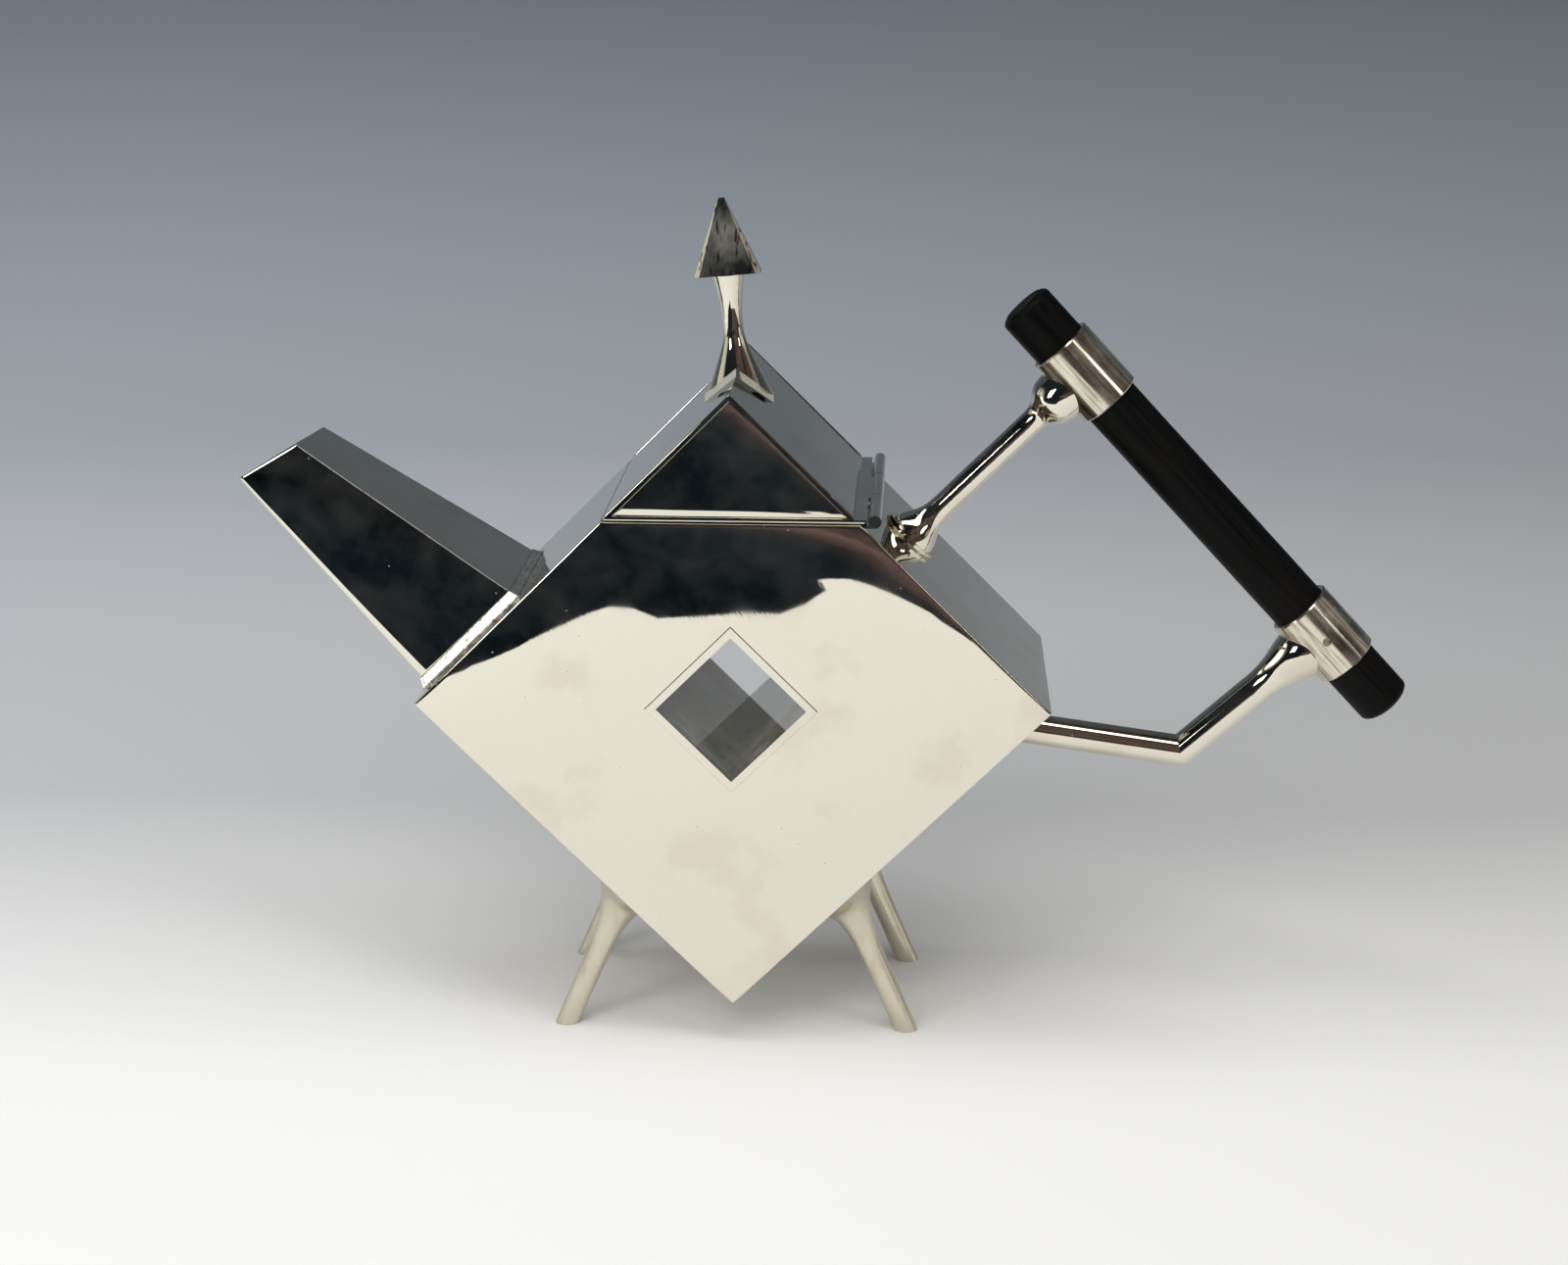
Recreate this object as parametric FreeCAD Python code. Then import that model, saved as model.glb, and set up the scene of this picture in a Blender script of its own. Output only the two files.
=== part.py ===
import FreeCAD, Part
import math
import os

# A silver teapot whose body is a square slab standing on one corner.
# Frame: X to the right (grip side), Y to the back, Z up. The origin lies on the
# table, midway between the four feet. Units are millimetres.

V = FreeCAD.Vector

# Body
half_diagonal = 63.5
body_depth = 56.8
corner_clearance = 8.8
body_sheet = 1.0
edge_bevel = 0.3
deck_sheet = 0.8
side_rim = 6.5
end_rim = 7.4

# Window right through the middle of the body
window_half_diagonal = 15.0
window_frame_face = 2.3
window_frame_depth = 1.4
window_frame_proud = 0.15
window_tube_sheet = 1.1

# Lid, the top corner of the slab
lid_height = 25.5
lid_gap = 0.35
lid_sheet = 0.8
lid_seam = 0.3
bezel_drop = 4.3
bezel_clearance = 0.5

# Hinge along the depth, beside the lid's right-hand edge
hinge_reach = 2.7
hinge_rise = 0.8
knuckle_radius = 1.3
pin_radius = 0.75
pin_clearance = 0.05
knuckle_gap = 0.25
hinge_leaf_sheet = 0.5
hinge_edge_clearance = 0.3

# Finial
finial_lean = 5.0
saddle_half_width = 7.0
saddle_half_depth = 9.0
saddle_thickness = 1.6
stem_foot_radius = 6.5
stem_neck_radius = 2.05
stem_top_radius = 3.3
stem_foot_height = -4.8
stem_cone_height = 11.2
stem_neck_height = 9.6
stem_top_height = 19.2
head_height = 15.2
head_width = 13.4
head_depth = 5.6
head_bevel = 1.0
head_tip = 0.1

# Spout
spout_sheet = 0.8
spout_base_start = 1.3
spout_base_length = 26.0
spout_base_half_width = 17.0
spout_narrowing = 0.124
spout_flange_thickness = 1.8
spout_flange_edge = 1.0
spout_flange_lip = 0.2
spout_flange_land = 1.3
mouth_low_reach = 37.5
mouth_low_above = 41.7
mouth_high_reach = 25.3
mouth_high_above = 48.9
mouth_skew = 1.2
strainer_hole_radius = 1.6
strainer_rows = 3
strainer_columns = 5
strainer_pitch = 5.6

# Grip and its ferrules
grip_radius = 5.72
grip_length = 113.4
grip_dome = 0.9
grip_reach = 31.7
grip_middle_above = 35.85
grip_slope = 46.9
upper_ferrule_at = 37.7
lower_ferrule_at = 36.0
ferrule_length = 15.3
ferrule_sheet = 0.93
ferrule_pin_radius = 0.85
ferrule_pin_depth = 4.0

# Arms that hold the grip
arm_disc_radius = 6.1
arm_disc_thickness = 1.0
upper_arm_radius = 2.5
lower_arm_root_below = 10.9
lower_arm_bend_reach = 28.3
lower_arm_bend_below = 16.3
lower_arm_radius = 3.25
arm_end_radius = 5.4

# Feet
foot_reach = 35.5
foot_half_spread = 18.5
foot_root_out = 22.2
foot_flare_radius = 8.8
foot_radius = 2.3
foot_flare_length = 4.1

root_two = math.sqrt(2)
half_depth = body_depth / 2
inner_depth = half_depth - body_sheet
centre_height = half_diagonal + corner_clearance
deck_half = lid_height
deck_above_centre = half_diagonal - lid_height
hinge_out = deck_half + hinge_reach
hinge_above_centre = deck_above_centre + hinge_rise
ferrule_radius = grip_radius + ferrule_sheet
lid_base = deck_above_centre + lid_gap
lid_base_top = lid_base + lid_sheet
filling_half_length = deck_half - side_rim
filling_half_width = half_depth - end_rim
bezel_half_length = filling_half_length - bezel_clearance
bezel_half_width = filling_half_width - bezel_clearance
grip_direction = V(math.cos(math.radians(grip_slope)), 0, -math.sin(math.radians(grip_slope)))


def at(out, above, across=0.0):
    """Point given by its distances right of, above and behind the body's centre."""
    return V(out, across, centre_height + above)


def slab(points, front, back):
    """Flat polygon of (out, above) corners, carried along the depth."""
    wire = Part.makePolygon([at(out, above, front) for out, above in points + points[:1]])
    return Part.Face(wire).extrude(V(0, back - front, 0))


def diamond(half):
    return [(-half, 0), (0, half), (half, 0), (0, -half)]


def crossing(a, b, c, d):
    """Where the line through a and b meets the line through c and d."""
    r = (b[0] - a[0], b[1] - a[1])
    s = (d[0] - c[0], d[1] - c[1])
    t = ((c[0] - a[0]) * s[1] - (c[1] - a[1]) * s[0]) / (r[0] * s[1] - r[1] * s[0])
    return (a[0] + t * r[0], a[1] + t * r[1])


def shifted(a, b, distance):
    """The line from a to b moved to its right by a distance."""
    length = math.hypot(b[0] - a[0], b[1] - a[1])
    right = ((b[1] - a[1]) / length, (a[0] - b[0]) / length)
    return [(p[0] + right[0] * distance, p[1] + right[1] * distance) for p in (a, b)]


def block(low, high):
    size = high - low
    return Part.makeBox(size.x, size.y, size.z, low)


def sleeve(outer_a, outer_b, sheet, low, high):
    """Upright rectangular sleeve round the body's middle line."""
    outside = block(at(-outer_a, low, -outer_b), at(outer_a, high, outer_b))
    inner_a = outer_a - sheet
    inner_b = outer_b - sheet
    return outside.cut(block(at(-inner_a, low - 1, -inner_b), at(inner_a, high + 1, inner_b)))


def turned(profile, base, direction):
    """Solid of revolution from (radius, height) corners along an axis."""
    points = [V(radius, 0, height) for radius, height in profile]
    face = Part.Face(Part.makePolygon([V(0, 0, profile[0][1])] + points + [V(0, 0, profile[-1][1]),
                                                                       V(0, 0, profile[0][1])]))
    solid = face.revolve(V(0, 0, 0), V(0, 0, 1), 360)
    solid.Placement = FreeCAD.Placement(base, FreeCAD.Rotation(V(0, 0, 1), direction))
    return solid


def flared(profile, base, direction):
    """Solid of revolution whose side is one smooth curve through (radius, height) points."""
    curve = Part.BSplineCurve()
    curve.interpolate([V(radius, 0, height) for radius, height in profile])
    first = V(0, 0, profile[0][1])
    last = V(0, 0, profile[-1][1])
    side = curve.toShape()
    edges = [Part.makeLine(first, V(profile[0][0], 0, profile[0][1])), side,
             Part.makeLine(V(profile[-1][0], 0, profile[-1][1]), last), Part.makeLine(last, first)]
    solid = Part.Face(Part.Wire(edges)).revolve(V(0, 0, 0), V(0, 0, 1), 360)
    solid.Placement = FreeCAD.Placement(base, FreeCAD.Rotation(V(0, 0, 1), direction))
    return solid


def half_space(point, normal, size=400):
    """A large block that fills the side of a plane that the normal points to."""
    box = Part.makeBox(size, size, size, V(-size / 2, -size / 2, 0))
    box.Placement = FreeCAD.Placement(point, FreeCAD.Rotation(V(0, 0, 1), normal))
    return box


def bevelled(shape, face_y, amount):
    """Shape with the edges that lie on the plane y = face_y bevelled."""
    edges = [edge for edge in shape.Edges
             if all(abs(vertex.Y - face_y) < 1e-6 for vertex in edge.Vertexes)]
    return shape.makeChamfer(amount, edges)


def loft(*rings):
    return Part.makeLoft([Part.makePolygon(ring + ring[:1]) for ring in rings], True, True)


def slab_plate(side):
    """Front (side -1) or back (side 1) plate of the body with the window's hole."""
    outline = [(-deck_half, deck_above_centre), (deck_half, deck_above_centre),
               (half_diagonal, 0), (0, -half_diagonal), (-half_diagonal, 0)]
    plate = slab(outline, side * inner_depth, side * half_depth)
    hole = diamond(window_half_diagonal + window_frame_face)
    plate = bevelled(plate, side * half_depth, edge_bevel)
    return plate.cut(slab(hole, -half_depth - 1, half_depth + 1))


def wall(start, end):
    """Wall between the plates from one corner to the next, mitred, or level under the deck."""
    inner = shifted(start, end, body_sheet)
    ends = []
    for corner in (start, end):
        under_deck = corner[1] > 0
        towards = (0, corner[1]) if under_deck else (0, 0)
        ends.append(crossing(inner[0], inner[1], corner, towards))
    return slab([start, end, ends[1], ends[0]], -inner_depth, inner_depth)


def wall_point(along, off=0.0):
    """Point on the upper left wall, a distance up from the left corner and off the wall."""
    return (-half_diagonal + (along - off) / root_two, (along + off) / root_two)


def strainer_holes():
    middle = spout_base_start + spout_base_length / 2
    holes = []
    for row in range(strainer_rows):
        for column in range(strainer_columns):
            along = middle + (row - (strainer_rows - 1) / 2) * strainer_pitch
            across = (column - (strainer_columns - 1) / 2) * strainer_pitch
            out, above = wall_point(along, 1)
            holes.append(Part.makeCylinder(strainer_hole_radius, body_sheet + 2,
                                           at(out, above, across), V(1, 0, -1)))
    return holes


def body_shell():
    top_left = (-deck_half - deck_sheet, deck_above_centre - deck_sheet)
    top_right = (deck_half + deck_sheet, deck_above_centre - deck_sheet)
    left, right, bottom = (-half_diagonal, 0), (half_diagonal, 0), (0, -half_diagonal)
    deck = slab([(-deck_half, deck_above_centre), (deck_half, deck_above_centre), top_right, top_left],
                -inner_depth, inner_depth)
    filling = block(at(-filling_half_length, 0, -filling_half_width),
                    at(filling_half_length, half_diagonal, filling_half_width))
    upper_left = wall(left, top_left)
    for hole in strainer_holes():
        upper_left = upper_left.cut(hole)
    return {
        "front_plate": slab_plate(-1),
        "back_plate": slab_plate(1),
        "upper_left_wall": upper_left,
        "upper_right_wall": wall(top_right, right),
        "lower_right_wall": wall(right, bottom),
        "lower_left_wall": wall(bottom, left),
        "body_deck": deck.cut(filling),
    }


def window():
    frame_outer = diamond(window_half_diagonal + window_frame_face)
    hollow = slab(diamond(window_half_diagonal), -half_depth - 1, half_depth + 1)
    pieces = {}
    for name, side in (("front_window_frame", -1), ("back_window_frame", 1)):
        face = side * (half_depth + window_frame_proud)
        ring = slab(frame_outer, side * (half_depth - window_frame_depth), face)
        pieces[name] = bevelled(ring, face, window_frame_proud).cut(hollow)
    tube_outer = diamond(window_half_diagonal + window_tube_sheet * root_two)
    tube_end = half_depth - window_frame_depth
    pieces["window_tube"] = slab(tube_outer, -tube_end, tube_end).cut(hollow)
    return pieces


def lid_end_panel(side):
    """Triangle that closes the lid at the front or back, with a seam round its face."""
    def triangle(inset):
        apex = half_diagonal - inset * root_two
        half = apex - lid_base_top
        return [(-half, lid_base_top), (0, apex), (half, lid_base_top)]
    face = side * half_depth
    step = side * (half_depth - lid_sheet / 2)
    back = side * (half_depth - lid_sheet)
    inner = slab(triangle(lid_sheet), back, step)
    outer = slab(triangle(lid_sheet + lid_seam), step, face)
    return inner.fuse(outer).removeSplitter()


def lid_roof(side):
    """One sloping side of the lid, mitred to the other along the ridge."""
    foot = half_diagonal - lid_base_top
    drop = lid_sheet * root_two
    points = [(side * foot, lid_base_top), (0, half_diagonal), (0, half_diagonal - drop),
              (side * (foot - drop), lid_base_top)]
    return slab(points, -half_depth, half_depth)


def lid_shell():
    half_low = half_diagonal - lid_base
    half_top = half_diagonal - lid_base_top
    edge = hinge_out - knuckle_radius - hinge_edge_clearance
    frame = slab([(-half_low, lid_base), (-half_top, lid_base_top), (edge, lid_base_top), (edge, lid_base)],
                 -half_depth, half_depth)
    inner_a = bezel_half_length - lid_sheet
    inner_b = bezel_half_width - lid_sheet
    frame = frame.cut(block(at(-inner_a, lid_base - 1, -inner_b), at(inner_a, lid_base_top + 1, inner_b)))
    return {
        "lid_base_frame": frame,
        "lid_bezel": sleeve(bezel_half_length, bezel_half_width, lid_sheet, lid_base - bezel_drop, lid_base),
        "lid_front_panel": lid_end_panel(-1),
        "lid_back_panel": lid_end_panel(1),
        "lid_left_roof": lid_roof(-1),
        "lid_right_roof": lid_roof(1),
    }


def barrel(radius, front, back):
    return Part.makeCylinder(radius, back - front, at(hinge_out, hinge_above_centre, front), V(0, 1, 0))


def hinge():
    third = body_depth / 6
    leaf_low = hinge_above_centre - knuckle_radius
    leaf_top = leaf_low + hinge_leaf_sheet
    leaf = [(half_diagonal - leaf_low, leaf_low), (half_diagonal - leaf_top, leaf_top),
            (hinge_out, leaf_top), (hinge_out, leaf_low)]
    pieces = {}
    for name, front, back in (("front_hinge_knuckle", -half_depth, -third - knuckle_gap / 2),
                              ("back_hinge_knuckle", third + knuckle_gap / 2, half_depth)):
        solid = barrel(knuckle_radius, front, back).fuse(slab(leaf, front, back))
        pieces[name] = solid.cut(barrel(pin_radius, front - 1, back + 1)).removeSplitter()
    edge = hinge_out - knuckle_radius - hinge_edge_clearance
    front = -third + knuckle_gap / 2
    lid_leaf = slab([(edge, lid_base), (edge, lid_base_top), (hinge_out, lid_base_top), (hinge_out, lid_base)],
                    front, -front)
    solid = barrel(knuckle_radius, front, -front).fuse(lid_leaf)
    bore = barrel(pin_radius + pin_clearance, front - 1, -front + 1)
    pieces["lid_hinge_knuckle"] = solid.cut(bore).removeSplitter()
    pieces["hinge_pin"] = barrel(pin_radius, -half_depth, half_depth)
    return pieces


def finial():
    lean = FreeCAD.Rotation(V(0, 1, 0), -finial_lean)
    axis = lean.multVec(V(0, 0, 1))
    ridge = at(0, half_diagonal + stem_foot_height) - axis * stem_foot_height
    reach = saddle_half_width
    lozenge = [V(-reach, 0, 0), V(0, -saddle_half_depth, 0), V(reach, 0, 0), V(0, saddle_half_depth, 0)]
    plan = Part.Face(Part.makePolygon(lozenge + lozenge[:1])).extrude(V(0, 0, 2 * centre_height))
    low = half_diagonal - 2 * reach
    chevron = [(-2 * reach, low), (0, half_diagonal), (2 * reach, low), (2 * reach, low + saddle_thickness),
               (0, half_diagonal + saddle_thickness), (-2 * reach, low + saddle_thickness)]
    saddle = slab(chevron, -saddle_half_depth, saddle_half_depth).common(plan)
    cone = stem_foot_radius - stem_neck_radius
    cone_top = stem_foot_height + stem_cone_height
    profile = [(stem_foot_radius + cone * 0.1, stem_foot_height - stem_cone_height * 0.12),
               (stem_foot_radius - cone * 0.34, stem_foot_height + stem_cone_height * 0.32),
               (stem_foot_radius - cone * 0.7, stem_foot_height + stem_cone_height * 0.68),
               (stem_neck_radius + 0.2, cone_top), (stem_neck_radius, stem_neck_height),
               (stem_neck_radius + 0.25, stem_neck_height + 4), (stem_top_radius, stem_top_height)]
    stem = flared(profile, ridge, axis)
    under = [(-40, half_diagonal - 40 + saddle_thickness), (0, half_diagonal + saddle_thickness),
             (40, half_diagonal - 40 + saddle_thickness), (40, -20), (-40, -20)]
    stem = stem.cut(slab(under, -60, 60))

    def ring(scale, height):
        a, b, c = head_width / 2 * scale, head_depth / 2 * scale, head_bevel * scale
        corners = [(-a, -b + c), (-a + c, -b), (a - c, -b), (a, -b + c),
                   (a, b - c), (a - c, b), (-a + c, b), (-a, b - c)]
        return [V(x, y, height) for x, y in corners]
    head = loft(ring(1, stem_top_height), ring(head_tip, stem_top_height + head_height))
    head.Placement = FreeCAD.Placement(ridge, lean)
    return {"finial_saddle": saddle, "finial_stem": stem, "finial_arrowhead": head}


def spout():
    off = spout_flange_thickness
    base_low = wall_point(spout_base_start, off)
    base_high = wall_point(spout_base_start + spout_base_length, off)
    mouth_low = (-half_diagonal - mouth_low_reach, mouth_low_above)
    mouth_high = (-half_diagonal - mouth_high_reach, mouth_high_above)

    def half_width(point):
        distance = (-point[0] + point[1] - half_diagonal) / root_two - off
        return spout_base_half_width - spout_narrowing * distance

    def edge_line(which, side):
        """An edge of the spout, from its base to its mouth, which is cut shorter at the back."""
        base, mouth = ((base_low, mouth_low), (base_high, mouth_high))[which]
        cut = mouth_skew * (1 + side) / 2 / math.dist(base, mouth)
        return base, (mouth[0] + (base[0] - mouth[0]) * cut, mouth[1] + (base[1] - mouth[1]) * cut)

    def side_panel(side):
        corners = edge_line(0, side)[::-1] + edge_line(1, side)
        outside = [at(out, above, side * half_width((out, above))) for out, above in corners]
        inside = [at(out, above, side * (half_width((out, above)) - spout_sheet)) for out, above in corners]
        return loft(outside, inside)

    def edge_panel(which, inward):
        outside, inside = [], []
        for side in (-1, 1):
            base, mouth = edge_line(which, side)
            line = shifted(base, mouth, inward)
            inner_base = crossing(line[0], line[1], base_low, base_high)
            inner_mouth = crossing(line[0], line[1], edge_line(0, side)[1], edge_line(1, side)[1])
            for ring, ends in ((outside, (base, mouth)), (inside, (inner_base, inner_mouth))):
                ring.extend(at(out, above, side * (half_width((out, above)) - spout_sheet))
                            for out, above in ends[::-side])
        return loft(outside, inside)

    def flange_ring(above_wall, edge):
        low = wall_point(spout_base_start - edge, above_wall)
        high = wall_point(spout_base_start + spout_base_length + edge, above_wall)
        half = spout_base_half_width + edge
        return [at(*low, -half), at(*high, -half), at(*high, half), at(*low, half)]

    flange = loft(flange_ring(0, spout_flange_edge), flange_ring(off, spout_flange_lip))
    flange = flange.cut(loft(flange_ring(-1, -spout_flange_land), flange_ring(off + 1, -spout_flange_land)))
    return {
        "spout_flange": flange,
        "spout_front_panel": side_panel(-1),
        "spout_back_panel": side_panel(1),
        "spout_top_panel": edge_panel(1, -spout_sheet),
        "spout_bottom_panel": edge_panel(0, spout_sheet),
    }


def grip_point(along):
    """Point on the grip's middle line, a distance down from its middle."""
    return at(half_diagonal + grip_reach, grip_middle_above) + grip_direction * along


def ferrule(along):
    base = grip_point(along - ferrule_length / 2)
    outside = Part.makeCylinder(ferrule_radius, ferrule_length, base, grip_direction)
    outside = outside.makeChamfer(0.3, [edge for edge in outside.Edges if edge.Closed])
    return outside.cut(Part.makeCylinder(grip_radius, ferrule_length, base, grip_direction))


def handle():
    half = grip_length / 2
    dome = [(0.01, -half), (grip_radius * 0.55, -half + grip_dome * 0.18),
            (grip_radius - 0.9, -half + grip_dome * 0.62), (grip_radius, -half + grip_dome * 1.6)]
    profile = dome + [(radius, -height) for radius, height in reversed(dome)]
    grip = turned(profile, grip_point(0), grip_direction)
    lower_middle = grip_point(lower_ferrule_at)
    head = V(lower_middle.x, -ferrule_radius - 0.12, lower_middle.z)
    pin = Part.makeCylinder(ferrule_pin_radius, ferrule_pin_depth, head, V(0, 1, 0))
    return {
        "grip": grip.cut(pin),
        "upper_ferrule": ferrule(-upper_ferrule_at),
        "lower_ferrule": ferrule(lower_ferrule_at).cut(pin),
        "ferrule_pin": pin,
    }


def seat(along):
    """Round bar that stands for the outside of a ferrule where an arm meets it."""
    base = grip_point(along - ferrule_length)
    return Part.makeCylinder(ferrule_radius, 2 * ferrule_length, base, grip_direction)


def arms():
    held = grip_point(-upper_ferrule_at)
    root_out = (half_diagonal + held.x - (held.z - centre_height)) / 2
    root = at(root_out, half_diagonal - root_out)
    outward = V(1, 0, 1).normalize()
    disc = arm_disc_thickness
    length = (held - root).Length
    profile = [(5.2, disc), (4.5, disc + 2.0), (3.1, disc + 4.6), (upper_arm_radius, disc + 8.5),
               (upper_arm_radius, length * 0.3), (upper_arm_radius, length * 0.45),
               (upper_arm_radius, length * 0.6), (upper_arm_radius, length - 15.5),
               (3.0, length - 12.2), (4.7, length - 10.0), (arm_end_radius, length - 7.5),
               (arm_end_radius, length - 4.0)]
    upper = flared(profile, root, outward).cut(seat(-upper_ferrule_at))

    lower_root = at(half_diagonal - lower_arm_root_below, -lower_arm_root_below)
    bend = at(half_diagonal + lower_arm_bend_reach, -lower_arm_bend_below)
    target = grip_point(lower_ferrule_at)
    first = (bend - lower_root).normalize()
    second = (target - bend).normalize()
    mitre = first + second
    level = Part.makeCylinder(lower_arm_radius, 80, lower_root - first * 20, first)
    level = level.cut(half_space(bend, mitre))
    below_wall = half_space(at(half_diagonal, 0) + V(1, 0, -1).normalize() * disc, V(-1, 0, 1))
    level = level.cut(below_wall)
    rise = (target - bend).Length
    straight = rise * 0.5
    riser = Part.makeCylinder(lower_arm_radius, straight + 20, bend - second * 20, second)
    riser = riser.cut(half_space(bend, mitre * -1))
    profile = [(lower_arm_radius, straight), (lower_arm_radius, rise - 16.5),
               (lower_arm_radius * 1.15, rise - 13.0), (arm_end_radius, rise - 7.2),
               (arm_end_radius + 0.2, rise - 4.0)]
    mouth = flared(profile, bend, second).cut(seat(lower_ferrule_at))
    lower = level.fuse([riser, mouth]).removeSplitter()
    lower_normal = V(1, 0, -1).normalize()
    return {
        "upper_arm_disc": Part.makeCylinder(arm_disc_radius, disc, root, outward),
        "upper_arm": upper,
        "lower_arm_disc": Part.makeCylinder(arm_disc_radius, disc, lower_root, lower_normal),
        "lower_arm": lower,
    }


def foot(side_out, side_across):
    """Splayed leg that flares like a trumpet where it meets the lower wall."""
    root = at(side_out * foot_root_out, foot_root_out - half_diagonal, side_across * foot_half_spread)
    sole = V(side_out * foot_reach, side_across * foot_half_spread, 0)
    normal = V(side_out, 0, -1).normalize()
    down = (sole - root).normalize()
    length = (sole - root).Length
    stages = 12
    rings = []
    for stage in range(stages + 1):
        part = stage / stages
        along = (length + 4) * part
        flare = math.exp(-along / foot_flare_length)
        radius = foot_radius + (foot_flare_radius - foot_radius) * flare
        bend = 1 - flare
        direction = (normal * (1 - bend) + down * bend).normalize()
        tilt = math.degrees(math.atan2(direction.x, direction.z))
        ring = Part.makeCircle(radius)
        ring.Placement = FreeCAD.Placement(root + down * along, FreeCAD.Rotation(V(0, 1, 0), tilt))
        rings.append(Part.Wire(ring))
    leg = Part.makeLoft(rings, True, False)
    return leg.cut(half_space(V(0, 0, 0), V(0, 0, -1)))


def feet():
    pieces = {}
    for row, across in (("front", -1), ("back", 1)):
        for column, out in (("left", -1), ("right", 1)):
            pieces["{}_{}_foot".format(row, column)] = foot(out, across)
    return pieces


os.makedirs("parts", exist_ok=True)
for group in (body_shell(), window(), spout(), lid_shell(), hinge(), finial(), handle(), arms(), feet()):
    for node, shape in group.items():
        solid = shape.Solids[0] if len(shape.Solids) == 1 else shape
        if len(shape.Solids) != 1 or not solid.isValid():
            print("CHECK", node, len(shape.Solids), shape.isValid())
        solid.exportStep("parts/" + node + ".step")
        box = solid.BoundBox
        print("{:22s} {:8.1f} mm3  x {:7.2f} {:7.2f}  y {:7.2f} {:7.2f}  z {:7.2f} {:7.2f}".format(
            node, solid.Volume, box.XMin, box.XMax, box.YMin, box.YMax, box.ZMin, box.ZMax))
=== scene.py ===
import math

import bmesh
import bpy
from mathutils import Matrix, Vector
from mathutils.geometry import convex_hull_2d, intersect_line_line


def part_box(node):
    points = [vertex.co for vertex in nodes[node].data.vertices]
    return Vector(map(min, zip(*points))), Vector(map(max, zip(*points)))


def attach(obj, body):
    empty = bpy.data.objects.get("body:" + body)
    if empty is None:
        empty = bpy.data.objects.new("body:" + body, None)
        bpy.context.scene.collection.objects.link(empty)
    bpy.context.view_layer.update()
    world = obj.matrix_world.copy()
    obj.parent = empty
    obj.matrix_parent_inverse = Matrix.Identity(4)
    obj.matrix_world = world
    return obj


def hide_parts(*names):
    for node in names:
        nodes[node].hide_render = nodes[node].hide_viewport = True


# A silver teapot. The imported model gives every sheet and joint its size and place.
# This script crowns and planishes the flat panels, runs solder along the seams,
# turns the grip, gives each piece its finish and sets the table.
# Metres, +X towards the grip, +Y to the back, +Z up.

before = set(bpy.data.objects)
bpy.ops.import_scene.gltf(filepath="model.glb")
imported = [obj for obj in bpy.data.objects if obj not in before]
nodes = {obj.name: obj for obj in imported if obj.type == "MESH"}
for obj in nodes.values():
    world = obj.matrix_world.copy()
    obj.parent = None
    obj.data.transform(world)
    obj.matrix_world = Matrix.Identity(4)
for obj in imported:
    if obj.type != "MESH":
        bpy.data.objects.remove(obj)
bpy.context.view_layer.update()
scene = bpy.context.scene
mm = 0.001
touching = 1e-7  # metres: points nearer than this are one point
gripSlope = 46.9  # degrees that the grip leans down, away from the lid
print("frame loaded:", len(nodes), "nodes")


def linear(hexColour):
    channels = [int(hexColour[i:i + 2], 16) / 255 for i in (1, 3, 5)]
    curve = [c / 12.92 if c <= 0.04045 else ((c + 0.055) / 1.055) ** 2.4 for c in channels]
    return (*curve, 1.0)


def addNode(tree, kind, settings=None, inputs=None, ramp=None):
    node = tree.nodes.new(kind)
    for key, value in (settings or {}).items():
        setattr(node, key, value)
    for key, value in (inputs or {}).items():
        if isinstance(value, bpy.types.NodeSocket):
            tree.links.new(value, node.inputs[key])
        else:
            node.inputs[key].default_value = value
    if ramp:
        stops = node.color_ramp.elements
        while len(stops) < len(ramp):
            stops.new(0.5)
        for stop, (position, colour) in zip(stops, ramp):
            stop.position = position
            stop.color = linear(colour)
    return node


def newMaterial(name, settings):
    material = bpy.data.materials.new(name)
    material.use_nodes = True
    tree = material.node_tree
    tree.nodes.clear()
    shader = addNode(tree, "ShaderNodeBsdfPrincipled", inputs=settings)
    addNode(tree, "ShaderNodeOutputMaterial", inputs={"Surface": shader.outputs["BSDF"]})
    return material, tree, shader


# Silver plate: electroplated on rolled nickel silver and buffed on a mop. A warm mirror
# with slow waves left by the hammer, fine polishing lines that feather a reflection's
# edge, a thin haze, pin-prick pits and a few tan tarnish spots. Sizes in millimetres;
# the pits are drawn about twice their real width, so that they show.
buffedPlate = {
    "colour": "#e6e2d3", "tarnish": "#e1d9c9", "roughness": 0.012, "worn": 0.05, "wornBand": (0.4, 0.75),
    "waveSize": 32.0, "waveHeight": 0.035,
    "lineSize": 0.5, "lineStretch": 11.0, "lineHeight": 0.0022, "lineTurn": 62.0,
    "linePatch": 24.0, "lineBand": (0.42, 0.6), "faintest": 0.1,
    "hazeSize": 9.0, "haze": 0.02, "hazeBand": (0.38, 0.68),
    "pitGap": 4.2, "pitRadius": 0.15, "pitRoughness": 0.45,
    "spotSize": 21.0, "spotStretch": 1.0, "spots": 0.54, "spotSoftness": 0.1, "spotTurn": 0.0,
}

# The ferrules were buffed less: brown tarnish lies in streaks along the grip and the
# mirror is softer.
agedPlate = dict(
    buffedPlate, colour="#e2dccb", tarnish="#8b7a68", roughness=0.13, worn=0.26, haze=0.12,
    lineSize=0.4, lineStretch=20.0, lineTurn=gripSlope, lineHeight=0.003,
    spotSize=0.8, spotStretch=16.0, spots=0.47, spotSoftness=0.2, spotTurn=gripSlope)

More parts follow.
